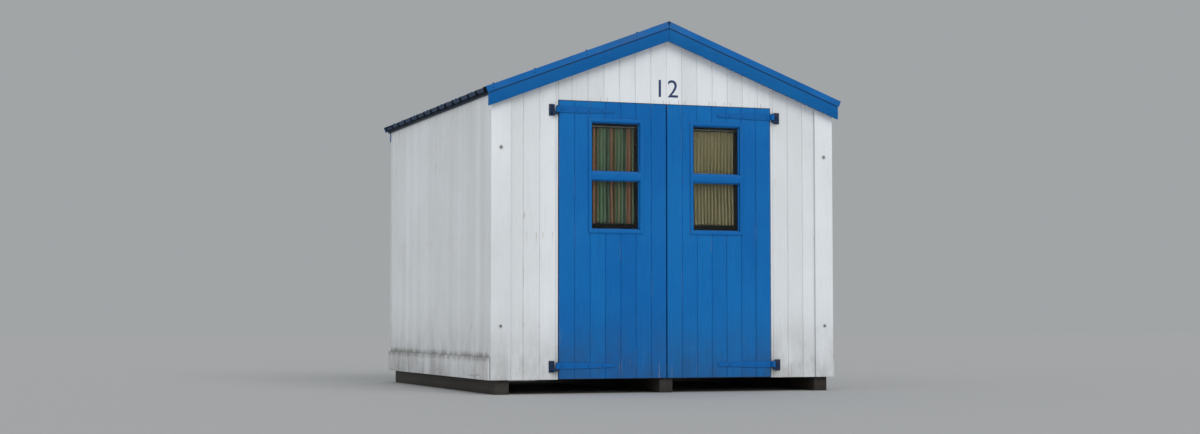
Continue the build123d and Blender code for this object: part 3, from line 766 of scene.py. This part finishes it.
# Solids whose edges are eased, each with its finish and the width of the easing.
FRAME_MARGIN = 0.024
for leaf in HANDS:
    body = leaf + "_door"
    boarded_leaf(leaf)
    frame_low, frame_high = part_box(leaf + "_window_frame")
    level = (frame_low.x + FRAME_MARGIN, frame_high.x - FRAME_MARGIN, blue_x)
    eased(leaf + "_door_stiles", body, blue_z, "blue_paint")
    eased(leaf + "_door_rails", body, blue_x, "blue_paint")
    eased(leaf + "_window_frame", body, blue_z, "blue_paint", 0.0022, rails=level)
    eased(leaf + "_door_straps", body, blue_iron, "blue_iron", 0.0007, 1)
    eased(leaf + "_curtain_rod", body, zinc, "rod_metal", 0.0006, 1)
for node, material, slot, *easing in (
        ("corner_boards", white_z, "white_paint", 0.002),
        ("skirting_boards", white_y, "white_paint", 0.002),
        ("barge_boards", blue_barge, "blue_paint", 0.002),
        ("eave_boards", navy_y, "blue_paint", 0.0015),
        ("bearers", dark_wood["y"], "dark_timber", 0.003),
        ("floor_joists", dark_wood["x"], "dark_timber", 0.002),
        ("threshold", timber["x"], "floor_timber", 0.003),
        ("hinge_pintles", navy_iron, "dark_iron", 0.0007, 1)):
    eased(node, "hut", material, slot, *easing)
for node, axis in (("wall_posts", "z"), ("side_wall_rails", "y"), ("back_wall_rails", "x"),
                   ("front_wall_rails", "x"), ("door_posts", "z"), ("door_header", "x"),
                   ("wall_plates", "y"), ("gable_studs", "z"), ("ridge_beam", "y"), ("purlins", "y")):
    eased(node, "hut", timber[axis], "bare_timber", 0.0015)


def wear(node, material):
    """Gives a solid whose shape is right its finish."""
    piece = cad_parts[node]
    piece.data.materials.clear()
    piece.data.materials.append(material)


for leaf in HANDS:
    wear(leaf + "_roof_sheet", roof_metal)
    wear(leaf + "_window_panes", glass)
for node in ("ridge_cap", "verge_caps"):
    wear(node, trim_metal)


# Floor boards

FLOOR_BOARD_WIDTH = 0.121
FLOOR_GAP = 0.0025
FLOOR_EASE = 0.0015
TONGUE_STEP = 0.0005
FLOOR_UNEVEN = 0.0006


def make_floor_boards():
    """Boards with open joints, closed by their tongues lower down."""
    low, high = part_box("floor_boards")
    mesher = Mesher("floor")
    count = round((high.x - low.x) / FLOOR_BOARD_WIDTH)
    width = (high.x - low.x) / count
    for i in range(count):
        left, next_left = low.x + i * width, low.x + (i + 1) * width
        right = next_left - (FLOOR_GAP if i < count - 1 else 0)
        tongue, shoulder = (low.z + high.z) / 2, high.z - FLOOR_EASE
        section = [(left, low.z), (next_left, low.z), (next_left, tongue), (right, tongue + TONGUE_STEP),
                   (right, shoulder), (right - FLOOR_EASE, high.z), (left + FLOOR_EASE, high.z),
                   (left, shoulder)]
        drop = mesher.random.random() * FLOOR_UNEVEN
        rings = [[(x, y, z - (drop if z > low.z else 0)) for x, z in section] for y in (low.y, high.y)]
        mesher.loft(rings)
    piece = mesher.piece("floor_boarding", "hut", [floor_wood], "floor_timber")
    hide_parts("floor_boards")


make_floor_boards()


# Fasteners. A head is a list of (radius, height) rings, in metres.

COACH_BOLT_HEIGHTS = (0.37, 1.6)
COACH_BOLT_FROM_CORNER = 0.07
WASHER = [(0.017, 0), (0.017, 0.0018), (0.016, 0.0025)]
DOME = [(0.0098, 0.0023), (0.0095, 0.0048), (0.0073, 0.0076), (0.0034, 0.0089)]
STRAP_BOLT = [(0.0085, 0), (0.0084, 0.0018), (0.0066, 0.004), (0.0032, 0.0052)]
PLATE_SCREW = [(0.0046, 0), (0.0045, 0.001), (0.0032, 0.0019)]
ROOF_WASHER = [(0.0095, 0), (0.0095, 0.0014), (0.008, 0.0022)]
ROOF_HEX = [(0.0062, 0.0018), (0.0062, 0.0058), (0.005, 0.0068)]
IRON_THICKNESS = 0.006
STRAP_HALF_WIDTH = 0.021
STRAP_BOLT_PLACES = (0.055, 0.15, 0.245, 0.35)
PLATE_DROP = 0.006
PLATE_SCREW_RISES = (-0.029, 0.024)
PLATE_SCREW_INSET = 0.011


def make_coach_bolts():
    """Grey domes on white washers, two on each front corner board."""
    mesher = Mesher("coach bolts")
    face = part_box("corner_boards")[0].y
    for x in (-HALF_WIDTH + COACH_BOLT_FROM_CORNER, HALF_WIDTH - COACH_BOLT_FROM_CORNER):
        for rise in COACH_BOLT_HEIGHTS:
            middle = (x, face, WALL_BOTTOM + rise)
            mesher.button(middle, (0, -1, 0), WASHER, 20)
            mesher.button(middle, (0, -1, 0), DOME, 16, slot=1)
    mesher.piece("corner_board_bolts", "hut", [white_iron, grey_iron], "dark_iron", smooth=True)


def make_hinge_fasteners():
    """Round bolt heads on the straps and screws on the pintle plates."""
    strap_low, strap_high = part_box("right_door_straps")
    plates_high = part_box("hinge_pintles")[1]
    heights = (strap_low.z + STRAP_HALF_WIDTH, strap_high.z - STRAP_HALF_WIDTH)
    strap_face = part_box("right_door_boards")[0].y - IRON_THICKNESS
    for side, name in zip(SIDES, HANDS):
        mesher = Mesher(name + " strap bolts")
        for z in heights:
            for along in STRAP_BOLT_PLACES:
                x = side * (strap_high.x - along)
                mesher.button((x, strap_face, z), (0, -1, 0), STRAP_BOLT, 14)
        mesher.piece(name + "_strap_bolts", name + "_door", [blue_iron], "blue_iron", smooth=True)
    mesher = Mesher("pintle screws")
    plate_face = -(HALF_DEPTH + IRON_THICKNESS)
    for side in SIDES:
        for z in heights:
            for rise in PLATE_SCREW_RISES:
                x = side * (plates_high.x - PLATE_SCREW_INSET)
                mesher.button((x, plate_face, z - PLATE_DROP + rise), (0, -1, 0), PLATE_SCREW, 12)
    mesher.piece("pintle_plate_screws", "hut", [navy_iron], "dark_iron", smooth=True)


RIB_COUNT = 15
RIB_END = 0.041
SHEET_SCREW_LINES = (0.64, 1.262)
CAP_SCREW_FROM_EDGE = 0.028
VERGE_SCREW_PLACES = (0.22, 0.6, 0.98, 1.28)
VERGE_RIVET = [(0.0048, 0), (0.0047, 0.0008), (0.0036, 0.0017), (0.0016, 0.0021)]
RIVET_SHIFT = 0.02


def surface(node):
    """Finds the top of a roof piece at a place, as a function of x and y."""
    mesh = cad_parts[node].data
    tree = BVHTree.FromPolygons([v.co for v in mesh.vertices], [list(f.vertices) for f in mesh.polygons])

    def top(x, y):
        return tree.ray_cast(Vector((x, y, 2 * RIDGE_Z)), -UP)[0]
    return top


def roof_screw(mesher, place, side):
    """One hexagon screw on a dark sealing washer, square to the slope."""
    normal = Vector((side * math.sin(PITCH), 0, math.cos(PITCH)))
    mesher.button(place, normal, ROOF_WASHER, 16, slot=1)
    mesher.button(place, normal, ROOF_HEX, 6, turn=mesher.random.random())


def make_roof_screws():
    """Screws on the crowns of the ribs, on the ridge cap above ribs, and along the verge caps."""
    mesher = Mesher("roof screws")
    low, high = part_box("right_roof_sheet")
    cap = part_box("ridge_cap")[1].x - CAP_SCREW_FROM_EDGE
    first, last = low.y + RIB_END, high.y - RIB_END
    ribs = [first + (last - first) * i / (RIB_COUNT - 1) for i in range(RIB_COUNT)]
    on_cap, on_verge = surface("ridge_cap"), surface("verge_caps")
    for side, name in zip(SIDES, HANDS):
        on_sheet = surface(name + "_roof_sheet")
        for y in ribs[1:-1:2]:
            for x in SHEET_SCREW_LINES:
                roof_screw(mesher, on_sheet(side * x, y), side)
        for y in ribs[2:-2:2]:
            roof_screw(mesher, on_cap(side * cap, y), side)
        for x in VERGE_SCREW_PLACES:
            beside = x + RIVET_SHIFT
            for end in SIDES:
                roof_screw(mesher, on_verge(side * x, end * -ribs[0]), side)
                lip = Vector((side * beside, end * caps_high.y, cap_lip - beside * ROOF_SLOPE))
                mesher.button(lip + UP * VERGE_CAP_FACE / 2, (0, end, 0), VERGE_RIVET, 12)
    mesher.piece("roof_screws", "hut", [trim_metal, dark_iron], "roof_blue_metal", smooth=True)


TRIM_NAIL = [(0.0036, 0), (0.0036, 0.0009), (0.0026, 0.0013)]
TRIM_NAIL_SWAY = 0.005
TRIM_NAIL_STEP = 0.43
CORNER_NAIL_INSETS = (0.022, 0.118)
CORNER_NAIL_HEIGHTS = (0.255, 1.94)
SKIRTING_NAIL_INSET = 0.027
BARGE_NAIL_ROWS = (0.026, 0.062)
BARGE_NAIL_ENDS = (0.05, 0.06)


def spread(low, high):
    """Evenly spaced nail places from low to high."""
    count = round((high - low) / TRIM_NAIL_STEP)
    return [low + (high - low) * i / count for i in range(count + 1)]


def make_trim_nails():
    """Painted nail heads on the corner boards, the skirting and the barge boards."""
    white, blue = Mesher("trim nails"), Mesher("barge nails")

    def nail(mesher, place, outward):
        sway = mesher.random.uniform(-TRIM_NAIL_SWAY, TRIM_NAIL_SWAY)
        mesher.button(Vector(place) + UP * sway, outward, TRIM_NAIL, NAIL_SIDES)

    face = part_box("corner_boards")[1].y
    for z in spread(*CORNER_NAIL_HEIGHTS):
        for inset in CORNER_NAIL_INSETS:
            for side, end in CORNERS:
                nail(white, (side * (HALF_WIDTH - inset), end * face, z), (0, end, 0))
    low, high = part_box("skirting_boards")
    near, far = CORNER_NAIL_INSETS
    back_end = HALF_WIDTH - 2 * far + near
    for z in (low.z + SKIRTING_NAIL_INSET, high.z - SKIRTING_NAIL_INSET):
        for y in spread(left_low.y + near, left_high.y - near):
            for side in SIDES:
                nail(white, (side * high.x, y, z), (side, 0, 0))
        for x in spread(-back_end, back_end):
            nail(white, (x, high.y, z), (0, 1, 0))
    low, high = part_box("barge_boards")
    for x in spread(BARGE_NAIL_ENDS[0], high.x - BARGE_NAIL_ENDS[1]):
        foot = low.z + (high.x - x) * ROOF_SLOPE
        for rise in BARGE_NAIL_ROWS:
            for side, end in CORNERS:
                nail(blue, (side * x, end * high.y, foot + rise), (0, end, 0))
    white.piece("trim_board_nails", "hut", [white_z], "white_paint", smooth=True)
    blue.piece("barge_board_nails", "hut", [blue_barge], "blue_paint", smooth=True)


make_coach_bolts()
make_hinge_fasteners()
make_roof_screws()
make_trim_nails()


# Glazing beads

BEAD = 0.009
BEAD_INSET = 0.008
BEAD_SECTION = [(0, 0), (BEAD, 0), (BEAD * 0.92, BEAD * 0.38), (BEAD * 0.7, BEAD * 0.7),
                (BEAD * 0.38, BEAD * 0.92), (0, BEAD)]


def make_beads(name):
    """Quarter-round beads that hold each pane, mitred at the corners."""
    panes = sorted(solid_boxes(name + "_window_panes"), key=lambda b: b[0].z)
    mesher = Mesher(name + " beads")
    for low, high in panes:
        x0, x1 = low.x + BEAD_INSET, high.x - BEAD_INSET
        z0, z1 = low.z + BEAD_INSET, high.z - BEAD_INSET
        corners = [(x0, z0, 1, 1), (x1, z0, -1, 1), (x1, z1, -1, -1), (x0, z1, 1, -1)]
        for a, b in zip(corners, corners[1:] + corners[:1]):
            rings = [[(x + sx * inset, low.y - out, z + sz * inset) for inset, out in BEAD_SECTION]
                     for x, z, sx, sz in (a, b)]
            mesher.loft(rings)
    mesher.piece(name + "_glazing_beads", name + "_door", [blue_z], "blue_paint", smooth=True)


def solid_boxes(node):
    """Corner pairs of the separate solids of a node."""
    work = merged_copy(node)
    boxes = [[Vector([limit(vert.co[i] for vert in solid) for i in range(3)]) for limit in (min, max)]
             for solid in separate_solids(work)]
    work.free()
    return boxes


for leaf in HANDS:
    make_beads(leaf)


# Curtains

CLOTH_THICKNESS = 0.0008
CLOTH_GAP = 0.004
PLEATS = 12
ACROSS_STEPS = PLEATS * 12
DOWN_STEPS = 44
PLEAT_DEPTH = 0.0052
PLEAT_CURL = 0.0035
TOP_SAG = 0.0025
HEM_DRIFT = 0.003
RING_WIRE = 0.0012
RING_RADIUS = 0.0085
RING_LIFT = 0.0062
RING_END = 0.012
RING_SIDES = 20
WIRE_SIDES = 6


def make_curtain(name, material, seed):
    """A gathered curtain on small rings, in the space of its plain solid."""
    low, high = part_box(name + "_curtain")
    rod_low, rod_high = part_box(name + "_curtain_rod")
    rod_z = (rod_low.z + rod_high.z) / 2
    left, right = low.x + CLOTH_GAP, high.x - CLOTH_GAP
    bottom = low.z + CLOTH_GAP
    top = rod_z - RING_RADIUS
    middle = (low.y + high.y) / 2

    def hang(u, v):
        """A place on the cloth, as shares across and down. Its pleats deepen and drift lower down."""
        drift = noise.noise(Vector((u * 3.1, v * 1.7, seed))) * 1.25 * v
        swell = 0.75 + 0.5 * noise.noise(Vector((u * 5, v * 0.9, seed + 7)))
        depth = PLEAT_DEPTH * (1 + min(1, v * 3)) * swell
        phase = math.tau * (PLEATS * u) + drift * 2
        x = left + (right - left) * u + PLEAT_CURL * math.sin(2 * phase) * min(1, v * 2)
        y = middle + depth * math.cos(phase)
        z = top + (bottom - top) * v - TOP_SAG * (1 - math.cos(phase)) * (1 - v)
        return Vector((x, y, z + HEM_DRIFT * noise.noise(Vector((u * 6, 4, seed))) * v))

    span = ACROSS_STEPS + 1
    rows = [[hang(i / ACROSS_STEPS, j / DOWN_STEPS) for i in range(span)] for j in range(DOWN_STEPS + 1)]
    lengths = [sum((b - a).length for a, b in zip(row, row[1:])) for row in rows]
    flat_width = sum(lengths) / len(lengths)
    flat_height = top - bottom
    points = [p for row in rows for p in row]
    faces = [(j * span + i, j * span + i + 1, (j + 1) * span + i + 1, (j + 1) * span + i)
             for j in range(DOWN_STEPS) for i in range(ACROSS_STEPS)]
    mesh = bpy.data.meshes.new(name + "_curtain_cloth")
    mesh.from_pydata(points, [], faces)
    add_layer(mesh, "across", [flat_width * (k % span) / ACROSS_STEPS for k in range(len(points))])
    add_layer(mesh, "down", [flat_height * (k // span) / DOWN_STEPS for k in range(len(points))])
    piece = finish_piece(mesh, name + "_curtain_cloth", name + "_door", [material])
    mesh.shade_smooth()
    shell = piece.modifiers.new("thickness", "SOLIDIFY")
    shell.thickness = CLOTH_THICKNESS
    shell.offset = 0
    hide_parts(name + "_curtain")
    rings = make_rings(name, left, right, rod_z, middle)


def make_rings(name, left, right, rod_z, middle):
    """Small wire rings on the rod, one at each pleat."""
    mesher = Mesher(name + " rings")
    for k in range(PLEATS + 1):
        x = left + (right - left) * min(max(k / PLEATS, RING_END), 1 - RING_END)
        centre = Vector((x, middle, rod_z - RING_RADIUS + RING_LIFT))
        start = len(mesher.points)
        tone = mesher.random.random()
        for a in range(RING_SIDES):
            angle = math.tau * a / RING_SIDES
            out = Vector((0, math.cos(angle), math.sin(angle)))
            for b in range(WIRE_SIDES):
                turn = math.tau * b / WIRE_SIDES
                p = centre + out * (RING_RADIUS + RING_WIRE * math.cos(turn))
                mesher.points.append(tuple(p + Vector((RING_WIRE * math.sin(turn), 0, 0))))
                mesher.tones.append(tone)
        for a in range(RING_SIDES):
            for b in range(WIRE_SIDES):
                near, far = start + a * WIRE_SIDES, start + (a + 1) % RING_SIDES * WIRE_SIDES
                following = (b + 1) % WIRE_SIDES
                mesher.faces.append((near + b, near + following, far + following, far + b))
                mesher.slots.append(0)
    return mesher.piece(name + "_curtain_rings", name + "_door", [zinc], "rod_metal", smooth=True)


make_curtain("left", striped_cloth, 3.0)
make_curtain("right", plain_cloth, 11.0)


# Number on the gable

NUMBER = "12"
NUMBER_HEIGHT = 0.125
NUMBER_BASE = 1.994
NUMBER_RELIEF = 0.0004
NUMBER_GAP = 0.0002
NUMBER_SPACING = 1.12
DIGIT_SHARE = 0.7


def make_number():
    """A plain painted number, as a thin mesh on the boarding."""
    curve = bpy.data.curves.new("gable_number", "FONT")
    curve.body = NUMBER
    curve.align_x = "CENTER"
    curve.size = NUMBER_HEIGHT / DIGIT_SHARE
    curve.extrude = NUMBER_RELIEF
    curve.space_character = NUMBER_SPACING
    curve.resolution_u = 6
    text = add_object("number_outline", curve)
    text.rotation_euler = (math.radians(90), 0, 0)
    text.location = (0, -(HALF_DEPTH + NUMBER_GAP), WALL_BOTTOM + NUMBER_BASE)
    bpy.context.view_layer.update()
    mesh = bpy.data.meshes.new_from_object(text.evaluated_get(bpy.context.evaluated_depsgraph_get()))
    mesh.transform(text.matrix_world)
    bpy.data.objects.remove(text)
    mesh.materials.clear()
    mesh.name = "gable_number"
    finish_piece(mesh, "gable_number", "hut", [number_paint])


make_number()


# Floor, light and camera

# Floor and backdrop light the hut at full strength, and show at a share of it, as a mid grey.
FLOOR_WHITE = (0.8, 0.8, 0.795)
FLOOR_REACH = 60
BACKDROP_WHITE = (0.694, 0.723, 0.738)
SEEN_SHARE = 0.52
SKY_LIGHT = (0.9, 0.95, 1.0)
SKY_STRENGTH = 0.62
# Name, azimuth and elevation in degrees, strength, angle across in degrees, and colour.
LAMPS = (("key", 12, 42, 1.15, 40, (1.0, 0.985, 0.96)),
         ("fill", -75, 30, 0.36, 80, (1.0, 0.945, 0.86)))

# Camera of the photograph, from the fitted distances to the hut's front.
CAMERA_DISTANCE = 13.44
CAMERA_INCIDENCE = math.radians(21.8)
CAMERA_HEIGHT = 0.51
AIM_X = 0.02
FILL_OF_HEIGHT = 0.86
PHOTO_SHAPE = 1200 / 434


def seen_rays(g):
    """1 for rays that show the surroundings, straight, in a reflection or through glass."""
    rays = g.add("ShaderNodeLightPath").outputs
    return g.most(g.most(rays["Is Camera Ray"], rays["Is Glossy Ray"]), rays["Is Transmission Ray"])


def make_ground():
    mesh = bpy.data.meshes.new("studio_floor")
    mesh.from_pydata([(x * FLOOR_REACH, y * FLOOR_REACH, 0) for x, y in CORNERS], [], [(0, 2, 3, 1)])
    g = Graph("studio_floor", FLOOR_WHITE)
    g.lay(times(FLOOR_WHITE, SEEN_SHARE), seen_rays(g))
    mesh.materials.append(g.finish(0.9))
    add_object("studio_floor", mesh)


def make_light():
    """Sky light all round, the backdrop that is seen, and two broad lamps."""
    g = Graph("studio", kind="worlds")
    bpy.context.scene.world = g.owner
    sky = g.put(g.add("ShaderNodeBackground"), SKY_LIGHT, SKY_STRENGTH)
    backdrop = g.put(g.add("ShaderNodeBackground"), times(BACKDROP_WHITE, SEEN_SHARE), 1.0)
    both = g.put(g.add("ShaderNodeMixShader"), seen_rays(g), sky, backdrop)
    g.feed(g.add("ShaderNodeOutputWorld").inputs[0], both)
    for name, azimuth, elevation, strength, across, color in LAMPS:
        data = bpy.data.lights.new(name, "SUN")
        data.energy = strength
        data.angle = math.radians(across)
        data.color = color
        lamp = add_object(name, data)
        a, e = math.radians(azimuth), math.radians(elevation)
        toward = Vector((math.sin(a) * math.cos(e), -math.cos(a) * math.cos(e), math.sin(e)))
        lamp.rotation_euler = toward.to_track_quat("Z", "Y").to_euler()


def make_camera():
    """The photograph's place, with a field narrowed until the hut fills its share of the height."""
    low, high = cad_box
    aim = Vector((AIM_X, 0, (low.z + high.z) / 2))
    place = Vector((-CAMERA_DISTANCE * math.sin(CAMERA_INCIDENCE),
                    -HALF_DEPTH - CAMERA_DISTANCE * math.cos(CAMERA_INCIDENCE), CAMERA_HEIGHT))
    data = bpy.data.cameras.new("camera")
    reach = (aim - place).length - HALF_DEPTH
    half_height = (high.z - low.z) / FILL_OF_HEIGHT / 2 / reach
    data.lens = data.sensor_width / 2 / (half_height * PHOTO_SHAPE)
    camera = add_object("camera", data)
    camera.location = place
    camera.rotation_euler = (aim - place).to_track_quat("-Z", "Y").to_euler()
    bpy.context.scene.camera = camera


make_ground()
make_light()
make_camera()
bpy.context.scene.view_settings.view_transform = "Standard"
